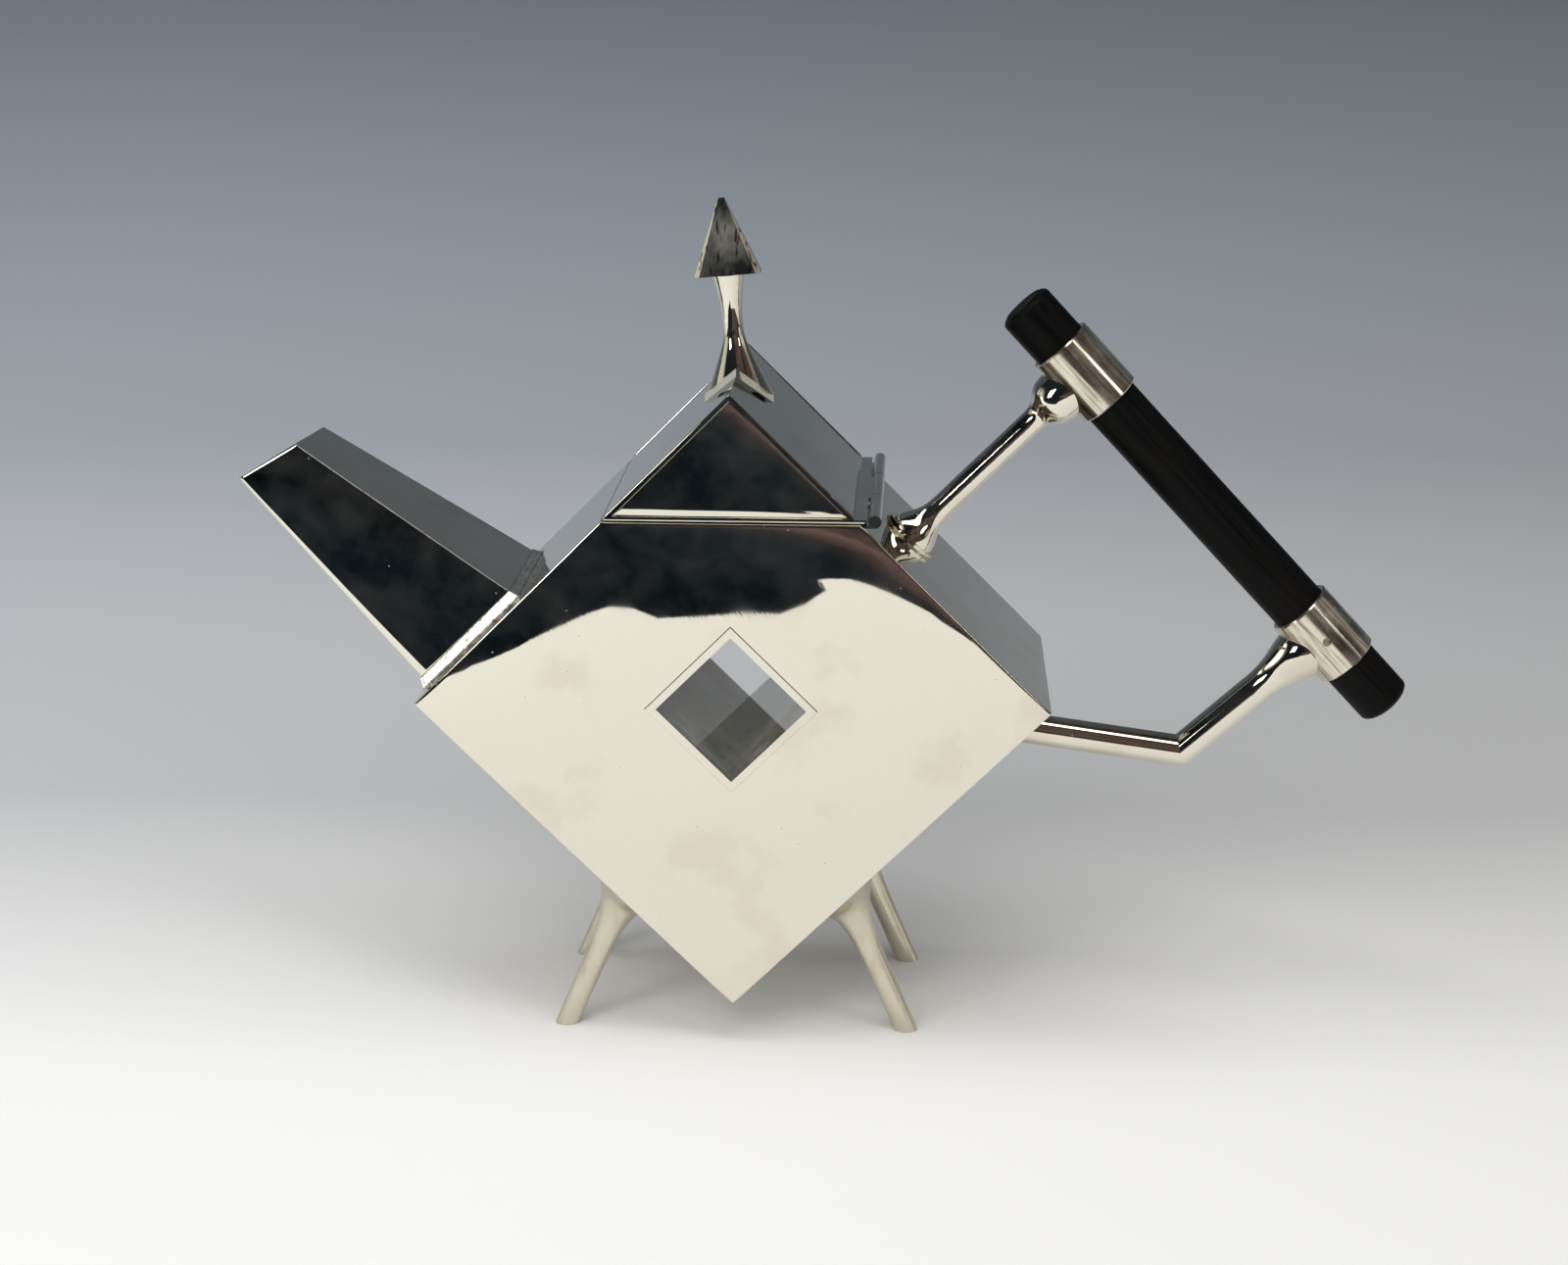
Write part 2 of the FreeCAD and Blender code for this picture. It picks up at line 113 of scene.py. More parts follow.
# The arrowhead and the spout's flange were only brushed, up and down.
brushedPlate = dict(
    buffedPlate, tarnish="#6f675c", roughness=0.12, worn=0.28, haze=0.1, lineSize=0.35, lineStretch=9.0,
    lineTurn=90.0, lineHeight=0.006, spotSize=0.8, spotStretch=5.0, spotTurn=90.0, spots=0.55)

# Dark polish has stayed round the pin's head.
pinPlate = dict(agedPlate, colour="#8f8268", tarnish="#3d342a", spotSize=0.9, spotStretch=1.0)

# The window's tube is hard to reach with a mop, so it is warm and hazy, without lines.
tubePlate = dict(
    buffedPlate, colour="#e6dfcd", tarnish="#dcd1b4", roughness=0.05, worn=0.08, haze=0.3, lineHeight=0.0)

# The feet are handled and knocked most: satin, with brown left in the scratches.
wornPlate = dict(
    buffedPlate, colour="#d6cfbd", tarnish="#c4b99f", roughness=0.14, worn=0.3, lineSize=0.4,
    lineHeight=0.004, lineTurn=90.0, lineStretch=7.0, spotSize=3.0, spotStretch=4.0, spotTurn=90.0,
    spots=0.5, spotSoftness=0.35)


def makeSilver(name, look):
    material, tree, shader = newMaterial(name, {})
    place = addNode(tree, "ShaderNodeTexCoord").outputs["Object"]
    slowWave = addNode(tree, "ShaderNodeTexNoise", {}, {
        "Vector": place, "Scale": 1 / (look["waveSize"] * mm), "Detail": 0.0})
    alongLines = addNode(tree, "ShaderNodeMapping", {"vector_type": "TEXTURE"}, {
        "Vector": place, "Rotation": (0.0, math.radians(look["lineTurn"]), 0.0),
        "Scale": (look["lineStretch"], 1.0, 1.0)})
    lines = addNode(tree, "ShaderNodeTexNoise", {}, {
        "Vector": alongLines.outputs["Vector"], "Scale": 1 / (look["lineSize"] * mm), "Detail": 3.0})
    waves = addNode(tree, "ShaderNodeBump", {}, {
        "Height": slowWave.outputs["Fac"], "Distance": look["waveHeight"] * mm})
    linePatch = addNode(tree, "ShaderNodeTexNoise", {}, {
        "Vector": place, "Scale": 1 / (look["linePatch"] * mm), "Detail": 1.0})
    lineShare = addNode(tree, "ShaderNodeMapRange", {}, {
        "Value": linePatch.outputs["Fac"], "From Min": look["lineBand"][0], "From Max": look["lineBand"][1],
        "To Min": look["faintest"], "To Max": 1.0})
    polished = addNode(tree, "ShaderNodeBump", {}, {
        "Strength": lineShare.outputs["Result"], "Height": lines.outputs["Fac"],
        "Distance": look["lineHeight"] * mm, "Normal": waves.outputs["Normal"]})
    tree.links.new(polished.outputs["Normal"], shader.inputs["Normal"])
    # haze and pits
    cloud = addNode(tree, "ShaderNodeTexNoise", {}, {
        "Vector": place, "Scale": 1 / (look["hazeSize"] * mm), "Detail": 5.0, "Roughness": 0.65})
    film = addNode(tree, "ShaderNodeMapRange", {}, {
        "Value": cloud.outputs["Fac"], "From Min": look["hazeBand"][0], "From Max": look["hazeBand"][1],
        "To Min": 1.0, "To Max": 1.0 - look["haze"]})
    tree.links.new(film.outputs["Result"], shader.inputs["Metallic"])
    pit = addNode(tree, "ShaderNodeTexVoronoi", {}, {
        "Vector": place, "Scale": 1 / (look["pitGap"] * mm)})
    pitted = addNode(tree, "ShaderNodeMath", {"operation": "LESS_THAN"}, {
        0: pit.outputs["Distance"], 1: look["pitRadius"] / look["pitGap"]})
    dull = addNode(tree, "ShaderNodeMapRange", {}, {
        "Value": cloud.outputs["Fac"], "From Min": look["wornBand"][0], "From Max": look["wornBand"][1],
        "To Min": look["roughness"], "To Max": look["worn"]})
    rough = addNode(tree, "ShaderNodeMath", {"operation": "MULTIPLY_ADD"}, {
        0: pitted.outputs[0], 1: look["pitRoughness"], 2: dull.outputs["Result"]})
    tree.links.new(rough.outputs[0], shader.inputs["Roughness"])
    # tarnish
    drawn = addNode(tree, "ShaderNodeMapping", {"vector_type": "TEXTURE"}, {
        "Vector": place, "Rotation": (0.0, math.radians(look["spotTurn"]), 0.0),
        "Scale": (look["spotStretch"], 1.0, 1.0)})
    patches = addNode(tree, "ShaderNodeTexNoise", {}, {
        "Vector": drawn.outputs["Vector"], "Scale": 1 / (look["spotSize"] * mm), "Detail": 4.0,
        "Roughness": 0.55})
    tarnish = addNode(tree, "ShaderNodeMapRange", {}, {
        "Value": patches.outputs["Fac"], "From Min": look["spots"],
        "From Max": look["spots"] + look["spotSoftness"]})
    tint = addNode(tree, "ShaderNodeMix", {"data_type": "RGBA"}, {
        0: tarnish.outputs["Result"], 6: linear(look["colour"]), 7: linear(look["tarnish"])})
    tree.links.new(tint.outputs[2], shader.inputs["Base Color"])
    return material


buffedSilver = makeSilver("buffedSilverPlate", buffedPlate)
streakedSilver = makeSilver("streakedSilverPlate", agedPlate)
brushedSilver = makeSilver("brushedSilverPlate", brushedPlate)
pinSilver = makeSilver("tarnishedSilverPin", pinPlate)
tubeSilver = makeSilver("warmTarnishedSilverPlate", tubePlate)
wornSilver = makeSilver("handWornSilverPlate", wornPlate)

# Silver solder: run in by hand along the joints and left a little grey and rough.
solderLook = {
    "grain": 1.1, "grey": "#8f8a7b", "bright": "#d9d3bf", "tintBand": (0.35, 0.65),
    "dullBand": (0.3, 0.7), "roughLow": 0.16, "roughHigh": 0.34,
}
solder, solderTree, solderShader = newMaterial("handRunSilverSolder", {"Metallic": 1.0})
solderGrain = addNode(solderTree, "ShaderNodeTexNoise", {}, {
    "Vector": addNode(solderTree, "ShaderNodeTexCoord").outputs["Object"],
    "Scale": 1 / (solderLook["grain"] * mm)})
solderTint = addNode(solderTree, "ShaderNodeValToRGB", {}, {"Fac": solderGrain.outputs["Fac"]}, [
    (solderLook["tintBand"][0], solderLook["grey"]), (solderLook["tintBand"][1], solderLook["bright"])])
solderDull = addNode(solderTree, "ShaderNodeMapRange", {}, {
    "Value": solderGrain.outputs["Fac"],
    "From Min": solderLook["dullBand"][0], "From Max": solderLook["dullBand"][1],
    "To Min": solderLook["roughLow"], "To Max": solderLook["roughHigh"]})
solderTree.links.new(solderTint.outputs["Color"], solderShader.inputs["Base Color"])
solderTree.links.new(solderDull.outputs["Result"], solderShader.inputs["Roughness"])

# Ebony: turned along the grain, oiled and rubbed by hands. Nearly black, satin, with
# fine open pores and faint brown figure running the length of the rod.
ebonyLook = {
    "dark": "#050505", "brown": "#0f0d0b", "figureBand": (0.4, 0.7), "grain": 0.9, "stretch": 18.0,
    "pore": 0.35, "poreDepth": 0.03, "dullBand": (0.35, 0.65), "roughLow": 0.4, "roughHigh": 0.6,
    "shine": 0.1,
}
ebony, ebonyTree, ebonyShader = newMaterial("oiledTurnedEbony", {"Specular IOR Level": ebonyLook["shine"]})
ebonyPlace = addNode(ebonyTree, "ShaderNodeTexCoord").outputs["Object"]
ebonyAlong = addNode(ebonyTree, "ShaderNodeMapping", {"vector_type": "TEXTURE"}, {
    "Vector": ebonyPlace, "Rotation": (0, math.radians(gripSlope), 0),
    "Scale": (ebonyLook["stretch"], 1, 1)})
ebonyFigure = addNode(ebonyTree, "ShaderNodeTexNoise", {}, {
    "Vector": ebonyAlong.outputs["Vector"], "Scale": 1 / (ebonyLook["grain"] * mm), "Detail": 3.0})
ebonyTint = addNode(ebonyTree, "ShaderNodeValToRGB", {}, {"Fac": ebonyFigure.outputs["Fac"]}, [
    (ebonyLook["figureBand"][0], ebonyLook["dark"]), (ebonyLook["figureBand"][1], ebonyLook["brown"])])
ebonyDull = addNode(ebonyTree, "ShaderNodeMapRange", {}, {
    "Value": ebonyFigure.outputs["Fac"],
    "From Min": ebonyLook["dullBand"][0], "From Max": ebonyLook["dullBand"][1],
    "To Min": ebonyLook["roughLow"], "To Max": ebonyLook["roughHigh"]})
ebonyPores = addNode(ebonyTree, "ShaderNodeTexNoise", {}, {
    "Vector": ebonyAlong.outputs["Vector"], "Scale": 1 / (ebonyLook["pore"] * mm), "Detail": 1.0})
ebonyBump = addNode(ebonyTree, "ShaderNodeBump", {}, {
    "Height": ebonyPores.outputs["Fac"], "Distance": ebonyLook["poreDepth"] * mm})
ebonyTree.links.new(ebonyTint.outputs["Color"], ebonyShader.inputs["Base Color"])
ebonyTree.links.new(ebonyDull.outputs["Result"], ebonyShader.inputs["Roughness"])
ebonyTree.links.new(ebonyBump.outputs["Normal"], ebonyShader.inputs["Normal"])

finishes = {
    "grip": ebony, "upper_ferrule": streakedSilver, "lower_ferrule": streakedSilver, "ferrule_pin": pinSilver,
    "finial_arrowhead": brushedSilver, "spout_flange": brushedSilver, "window_tube": tubeSilver,
}
finishes.update({name: wornSilver for name in nodes if name.endswith("_foot")})
for name, node in nodes.items():
    for held in node.material_slots:
        held.material = finishes.get(name, buffedSilver)
print("finishes made")


# A shape tree has named sizes and ends by giving its shape a finish. shapePiece puts one
# to work on a mesh and keeps the result as a plain mesh.
def newShapeTree(name, sizes):
    tree = bpy.data.node_groups.new(name, "GeometryNodeTree")
    tree.interface.new_socket("Geometry", in_out="INPUT", socket_type="NodeSocketGeometry")
    for label, (kind, value) in sizes.items():
        tree.interface.new_socket(label, in_out="INPUT", socket_type=kind).default_value = value
    tree.interface.new_socket("Finish", in_out="INPUT", socket_type="NodeSocketMaterial")
    tree.interface.new_socket("Geometry", in_out="OUTPUT", socket_type="NodeSocketGeometry")
    return tree, addNode(tree, "NodeGroupInput").outputs


def endShapeTree(tree, geometry, given):
    real = addNode(tree, "GeometryNodeRealizeInstances", {}, {"Geometry": geometry})
    done = addNode(tree, "GeometryNodeSetMaterial", {}, {
        "Geometry": real.outputs["Geometry"], "Material": given["Finish"]})
    addNode(tree, "NodeGroupOutput", {}, {"Geometry": done.outputs["Geometry"]})


def shapePiece(name, mesh, tree, sizes, finish, body, stands=()):
    piece = bpy.data.objects.new(name, mesh)
    scene.collection.objects.link(piece)
    modifier = piece.modifiers.new("shape", "NODES")
    modifier.node_group = tree
    for socket in tree.interface.items_tree:
        if socket.in_out == "INPUT" and socket.name in sizes:
            modifier[socket.identifier] = sizes[socket.name]
        elif socket.in_out == "INPUT" and socket.name == "Finish":
            modifier[socket.identifier] = finish
    bpy.context.view_layer.update()
    shaped = bpy.data.meshes.new_from_object(
        piece.evaluated_get(bpy.context.evaluated_depsgraph_get()))
    piece.modifiers.clear()
    piece.data = shaped
    shaped.name = name
    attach(piece, body)
    if stands:
        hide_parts(*stands)


# A flat sheet is slightly domed when it is planished: its middle stays, its rim falls back.
panelTree, given = newShapeTree("planishedPanel", {
    "Outward": ("NodeSocketVector", (0, -1, 0)),
    "Crown Height": ("NodeSocketFloat", 0.3 * mm),
    "Edge Round": ("NodeSocketFloat", 0.3 * mm),
    "Fold Height": ("NodeSocketFloat", 0.2 * mm),
    "Planish Height": ("NodeSocketFloat", 0.03 * mm),
    "Planish Size": ("NodeSocketFloat", 25 * mm),
    "Seed": ("NodeSocketFloat", 1.0),
})
layerNames = ("crown", "rim", "outer", "fold")
crown, rim, outer, fold = (
    addNode(panelTree, "GeometryNodeInputNamedAttribute", {"data_type": "FLOAT"}, {"Name": layer})
    for layer in layerNames)
perSize = addNode(panelTree, "ShaderNodeMath", {"operation": "DIVIDE"}, {0: 1.0, 1: given["Planish Size"]})
hammered = addNode(panelTree, "ShaderNodeTexNoise", {"noise_dimensions": "4D"}, {
    "Vector": addNode(panelTree, "GeometryNodeInputPosition").outputs["Position"],
    "W": given["Seed"], "Scale": perSize.outputs[0], "Detail": 1.0})
crownDrop = addNode(panelTree, "ShaderNodeMath", {"operation": "MULTIPLY"}, {
    0: crown.outputs["Attribute"], 1: given["Crown Height"]})
rimDrop = addNode(panelTree, "ShaderNodeMath", {"operation": "MULTIPLY_ADD"}, {
    0: rim.outputs["Attribute"], 1: given["Edge Round"], 2: crownDrop.outputs[0]})
foldDrop = addNode(panelTree, "ShaderNodeMath", {"operation": "MULTIPLY_ADD"}, {
    0: fold.outputs["Attribute"], 1: given["Fold Height"], 2: rimDrop.outputs[0]})
dents = addNode(panelTree, "ShaderNodeMath", {"operation": "MULTIPLY"}, {
    0: hammered.outputs["Fac"], 1: given["Planish Height"]})
dentDrop = addNode(panelTree, "ShaderNodeMath", {"operation": "MULTIPLY_ADD"}, {
    0: dents.outputs[0], 1: outer.outputs["Attribute"], 2: foldDrop.outputs[0]})
inward = addNode(panelTree, "ShaderNodeVectorMath", {"operation": "SCALE"}, {
    0: given["Outward"], "Scale": -1.0})
drop = addNode(panelTree, "ShaderNodeVectorMath", {"operation": "SCALE"}, {
    0: inward.outputs["Vector"], "Scale": dentDrop.outputs[0]})
fallen = addNode(panelTree, "GeometryNodeSetPosition", {}, {
    "Geometry": given["Geometry"], "Offset": drop.outputs["Vector"]})
endShapeTree(panelTree, fallen.outputs["Geometry"], given)

# Millimetres, but sharpAngle in degrees and straightAngle in radians. The mesh has a cell
# this wide, and finer rows along the rim, where the bends are.
panelLook = {
    "cell": 1.5, "rows": (0.04, 0.1, 0.2, 0.35, 0.7, 1.1, 1.6, 2.2), "overreach": 1.05, "tinyEdge": 0.005,
    "crownWidth": 30.0, "crownPower": 6, "edgeRound": 0.25, "roundReach": 0.35, "foldHeight": 0.22,
    "foldPower": 1.6, "planishHeight": 0.05, "planishSize": 26.0, "sharpAngle": 40.0, "shortEdge": 1.0,
    "straightAngle": 0.02,
}


def panelOutline(mesh, outward):
    # corners of the sheet seen square on, anticlockwise, where its long edges would cross
    side = outward.orthogonal().normalized()
    up = outward.cross(side)
    flat = [(v.co.dot(side), v.co.dot(up)) for v in mesh.vertices]
    hull = [Vector((*flat[i], 0.0)) for i in convex_hull_2d(flat)]
    runs = [(start, end) for start, end in zip(hull, hull[1:] + hull[:1])
            if (end - start).length > panelLook["shortEdge"] * mm]
    runs = [run for before, run in zip(runs[-1:] + runs[:-1], runs)
            if (before[1] - before[0]).angle(run[1] - run[0]) > panelLook["straightAngle"]]
    crossings = [intersect_line_line(*before, *run)[0]
                 for before, run in zip(runs[-1:] + runs[:-1], runs)]
    level = max(v.co.dot(outward) for v in mesh.vertices)
    return [side * c.x + up * c.y + outward * level for c in crossings]


def cutAlong(bm, point, away, clearOuter=False):
    bmesh.ops.bisect_plane(bm, geom=bm.verts[:] + bm.edges[:] + bm.faces[:], dist=touching,
                           plane_co=point, plane_no=away, clear_outer=clearOuter)


def panelMesh(name, node, outward, holes=(), folded=None):
    source = nodes[node].data
    corners = panelOutline(source, outward)
    thickness = (max(v.co.dot(outward) for v in source.vertices)
                 - min(v.co.dot(outward) for v in source.vertices))
    edges = list(zip(corners, corners[1:] + corners[:1]))
    longest = max(edges, key=lambda e: (e[1] - e[0]).length)
    side = (longest[1] - longest[0]).normalized()
    up = outward.cross(side)
    middle = sum(corners, Vector()) / len(corners)
    reach = max((c - middle).length for c in corners) * panelLook["overreach"]
    count = max(4, round(2 * reach / (panelLook["cell"] * mm)))
    bm = bmesh.new()
    bmesh.ops.create_grid(bm, x_segments=count, y_segments=count, size=reach, matrix=Matrix((
        (side.x, up.x, outward.x, middle.x), (side.y, up.y, outward.y, middle.y),
        (side.z, up.z, outward.z, middle.z), (0, 0, 0, 1))))
    lines = []
    for start, end in edges:
        away = (end - start).normalized().cross(outward)
        lines.append((start, away))
        for row in (0.0, *panelLook["rows"]):
            cutAlong(bm, start - away * row * mm, away, clearOuter=row == 0.0)
    for hole in holes:
        for start, away in hole:
            cutAlong(bm, start, away)
        inside = [f for f in bm.faces
                  if all((f.calc_center_median() - start).dot(away) < 0 for start, away in hole)]
        bmesh.ops.delete(bm, geom=inside, context="FACES")
    bmesh.ops.dissolve_degenerate(bm, dist=panelLook["tinyEdge"] * mm, edges=bm.edges)
    for face in bm.faces:
        if face.normal.dot(outward) < 0:
            face.normal_flip()
    crownLayer, rimLayer, outerLayer, foldLayer = (bm.verts.layers.float.new(layer) for layer in layerNames)
    width = panelLook["crownWidth"] * mm
    roundReach = panelLook["roundReach"] * mm
    if folded:
        foldStart, foldAway = max(lines, key=lambda line: line[1].dot(Vector(folded["toward"])))
    left, right = min(c.x for c in corners), max(c.x for c in corners)
    for vert in bm.verts:
        gaps = [max(0.0, (start - vert.co).dot(away)) for start, away in lines]
        vert[crownLayer] = sum(max(0.0, 1 - gap / width) ** panelLook["crownPower"] for gap in gaps)
        near = max(0.0, 1 - min(gaps) / roundReach)
        vert[rimLayer] = 1 - math.sqrt(max(0.0, 1 - near ** 2))
        vert[outerLayer] = 1.0
        if folded:
            leftWidth, rightWidth = folded["widths"]
            foldWidth = (leftWidth + (rightWidth - leftWidth) * (vert.co.x - left) / (right - left)) * mm
            bend = max(0.0, 1 - max(0.0, (foldStart - vert.co).dot(foldAway)) / foldWidth)
            vert[foldLayer] = bend ** panelLook["foldPower"]
    back = bmesh.ops.extrude_face_region(bm, geom=bm.faces[:], use_keep_orig=True)
    for item in back["geom"]:
        if isinstance(item, bmesh.types.BMVert):
            item.co -= outward * thickness
            item[crownLayer] = item[rimLayer] = item[outerLayer] = item[foldLayer] = 0.0
    bmesh.ops.recalc_face_normals(bm, faces=bm.faces)
    for edge in bm.edges:
        edge.smooth = edge.calc_face_angle(0.0) < math.radians(panelLook["sharpAngle"])
    for face in bm.faces:
        face.smooth = True
    mesh = bpy.data.meshes.new(name)
    bm.to_mesh(mesh)
    bm.free()
    return mesh


def facing(node, guess):
    # the outward direction of a flat sheet: its largest face on that side
    faces = [p for p in nodes[node].data.polygons if p.normal.dot(guess) > 0.5]
    return max(faces, key=lambda p: p.area).normal.copy()


# The window's opening as four cuts: a point on each edge, and the way out across it.
windowLow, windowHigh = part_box("front_window_frame")
windowMiddle = Vector((0, 0, (windowHigh.z + windowLow.z) / 2))
diagonals = [Vector((sx, 0, sz)).normalized() for sx, sz in ((1, 1), (-1, 1), (-1, -1), (1, -1))]
windowHole = [(windowMiddle + d * windowHigh.x / math.sqrt(2), d) for d in diagonals]

# A fold bends one edge of the sheet back: the way the edge faces, and how wide the bend is
# at the sheet's left and right ends.
gableFold = {"toward": (0, 0, -1), "widths": (1.7, 0.6)}
cheekFold = {"toward": (-1, 0, -1), "widths": (0.7, 2.1)}
panels = {
    "front_face_sheet": {"node": "front_plate", "side": -1, "body": "pot", "crown": 0.36, "seed": 2.0,
                         "holes": [windowHole]},
    "back_face_sheet": {"node": "back_plate", "side": 1, "body": "pot", "crown": 0.36, "seed": 5.0,
                        "holes": [windowHole]},
    "lid_front_gable": {"node": "lid_front_panel", "side": -1, "body": "lid", "crown": 0.2, "seed": 3.0,
                        "round": 0.06, "folded": gableFold},
    "lid_back_gable": {"node": "lid_back_panel", "side": 1, "body": "lid", "crown": 0.2, "seed": 7.0,
                       "round": 0.06, "folded": gableFold},
    "spout_front_cheek": {"node": "spout_front_panel", "side": -1, "body": "pot", "crown": 0.16, "seed": 4.0,
                          "round": 0.12, "folded": cheekFold},
    "spout_back_cheek": {"node": "spout_back_panel", "side": 1, "body": "pot", "crown": 0.16, "seed": 6.0,
                         "round": 0.12, "folded": cheekFold},
}
for name, look in panels.items():
    outward = facing(look["node"], Vector((0, look["side"], 0)))
    mesh = panelMesh(name, look["node"], outward, look.get("holes", ()), look.get("folded"))
    shapePiece(name, mesh, panelTree, {
        "Outward": outward, "Crown Height": look["crown"] * mm,
        "Edge Round": look.get("round", panelLook["edgeRound"]) * mm,
        "Fold Height": panelLook["foldHeight"] * mm,
        "Planish Height": panelLook["planishHeight"] * mm, "Planish Size": panelLook["planishSize"] * mm,
        "Seed": look["seed"],
    }, buffedSilver, look["body"], [look["node"]])
print("panels planished")


# The grip is a turned rod: a line swept with a circle that shrinks towards each end.
rodTree, given = newShapeTree("turnedRod", {
    "Length": ("NodeSocketFloat", 0.1),
    "Radius": ("NodeSocketFloat", 5 * mm),
    "End Round": ("NodeSocketFloat", 1 * mm),
    "End Power": ("NodeSocketFloat", 2.5),
    "Waver": ("NodeSocketFloat", 0.05 * mm),
    "Wavers": ("NodeSocketFloat", 60.0),
    "Steps": ("NodeSocketInt", 300),
    "Sides": ("NodeSocketInt", 64),
})
rodLine = addNode(rodTree, "GeometryNodeMeshToCurve", {}, {"Mesh": given["Geometry"]})
rodSteps = addNode(rodTree, "GeometryNodeResampleCurve", {}, {
    "Curve": rodLine.outputs["Curve"], "Count": given["Steps"]})
rodAlong = addNode(rodTree, "GeometryNodeSplineParameter").outputs["Factor"]
rodOther = addNode(rodTree, "ShaderNodeMath", {"operation": "SUBTRACT"}, {0: 1.0, 1: rodAlong})
rodNear = addNode(rodTree, "ShaderNodeMath", {"operation": "MINIMUM"}, {0: rodAlong, 1: rodOther.outputs[0]})
rodGap = addNode(rodTree, "ShaderNodeMath", {"operation": "MULTIPLY"}, {
    0: rodNear.outputs[0], 1: given["Length"]})
# the radius lost at a gap from the tip is End Round times (1 - gap / End Round) ^ End Power
rodShare = addNode(rodTree, "ShaderNodeMath", {"operation": "DIVIDE", "use_clamp": True}, {
    0: rodGap.outputs[0], 1: given["End Round"]})
rodLeft = addNode(rodTree, "ShaderNodeMath", {"operation": "SUBTRACT"}, {0: 1.0, 1: rodShare.outputs[0]})
rodBend = addNode(rodTree, "ShaderNodeMath", {"operation": "POWER"}, {
    0: rodLeft.outputs[0], 1: given["End Power"]})
rodLoss = addNode(rodTree, "ShaderNodeMath", {"operation": "MULTIPLY"}, {
    0: rodBend.outputs[0], 1: given["End Round"]})
rodFull = addNode(rodTree, "ShaderNodeMath", {"operation": "SUBTRACT"}, {
    0: given["Radius"], 1: rodLoss.outputs[0]})
rodNoise = addNode(rodTree, "ShaderNodeTexNoise", {}, {
    "Vector": addNode(rodTree, "GeometryNodeInputPosition").outputs["Position"],
    "Scale": given["Wavers"], "Detail": 0.0})
rodWaver = addNode(rodTree, "ShaderNodeMath", {"operation": "MULTIPLY"}, {
    0: rodNoise.outputs["Fac"], 1: given["Waver"]})
rodRadius = addNode(rodTree, "ShaderNodeMath", {"operation": "SUBTRACT"}, {
    0: rodFull.outputs[0], 1: rodWaver.outputs[0]})
rodRing = addNode(rodTree, "GeometryNodeCurvePrimitiveCircle", {}, {
    "Resolution": given["Sides"], "Radius": 1.0})
rodSized = addNode(rodTree, "GeometryNodeSetCurveRadius", {}, {
    "Curve": rodSteps.outputs["Curve"], "Radius": rodRadius.outputs[0]})
rodSkin = addNode(rodTree, "GeometryNodeCurveToMesh", {}, {
    "Curve": rodSized.outputs["Curve"], "Profile Curve": rodRing.outputs["Curve"],
    "Scale": rodRadius.outputs[0], "Fill Caps": True})
endShapeTree(rodTree, rodSkin.outputs["Mesh"], given)


def pathMesh(name, paths):
    # polylines as bare edges; a path that ends where it began is closed
    bm = bmesh.new()
    for path in paths:
        closed = (path[0] - path[-1]).length < touching
        verts = [bm.verts.new(p) for p in (path[:-1] if closed else path)]
        for a, b in zip(verts, verts[1:] + (verts[:1] if closed else [])):
            bm.edges.new((a, b))
    mesh = bpy.data.meshes.new(name)
    bm.to_mesh(mesh)
    bm.free()
    return mesh


# Millimetres; wavers counts them in a metre.
gripLook = {
    "length": 112.6, "radius": 5.72, "round": 1.5, "power": 2.5, "waver": 0.09, "wavers": 60.0,
    "steps": 320, "sides": 64,
}
gripLow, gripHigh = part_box("grip")
gripMiddle = (gripLow + gripHigh) / 2
gripWay = Vector((math.cos(math.radians(gripSlope)), 0, -math.sin(math.radians(gripSlope))))
gripHalf = gripLook["length"] / 2 * mm
gripLine = [gripMiddle - gripWay * gripHalf, gripMiddle + gripWay * gripHalf]
shapePiece("ebony_grip", pathMesh("grip", [gripLine]), rodTree, {
    "Length": gripHalf * 2, "Radius": gripLook["radius"] * mm, "End Round": gripLook["round"] * mm,
    "End Power": gripLook["power"], "Waver": gripLook["waver"] * mm, "Wavers": gripLook["wavers"],
    "Steps": gripLook["steps"], "Sides": gripLook["sides"],
}, ebony, "pot", ["grip"])
print("grip turned")


# A bead runs along a line: uneven solder at the joints, smooth at the lid's worn edges.
beadTree, given = newShapeTree("solderBead", {
    "Radius": ("NodeSocketFloat", 0.25 * mm),
    "Unevenness": ("NodeSocketFloat", 0.5),
    "Lump Size": ("NodeSocketFloat", 1.6 * mm),
    "Step": ("NodeSocketFloat", 0.4 * mm),
    "Sides": ("NodeSocketInt", 10),
})
beadLine = addNode(beadTree, "GeometryNodeMeshToCurve", {}, {"Mesh": given["Geometry"]})
beadSteps = addNode(beadTree, "GeometryNodeResampleCurve", {"mode": "LENGTH"}, {
    "Curve": beadLine.outputs["Curve"], "Length": given["Step"]})
beadScale = addNode(beadTree, "ShaderNodeMath", {"operation": "DIVIDE"}, {0: 1.0, 1: given["Lump Size"]})
beadNoise = addNode(beadTree, "ShaderNodeTexNoise", {}, {
    "Vector": addNode(beadTree, "GeometryNodeInputPosition").outputs["Position"],
    "Scale": beadScale.outputs[0], "Detail": 1.0})
beadSwing = addNode(beadTree, "ShaderNodeMath", {"operation": "SUBTRACT"}, {
    0: beadNoise.outputs["Fac"], 1: 0.5})
beadShare = addNode(beadTree, "ShaderNodeMath", {"operation": "MULTIPLY_ADD"}, {
    0: beadSwing.outputs[0], 1: given["Unevenness"], 2: 1.0})
beadRadius = addNode(beadTree, "ShaderNodeMath", {"operation": "MULTIPLY"}, {
    0: beadShare.outputs[0], 1: given["Radius"]})
beadRing = addNode(beadTree, "GeometryNodeCurvePrimitiveCircle", {}, {
    "Resolution": given["Sides"], "Radius": 1.0})
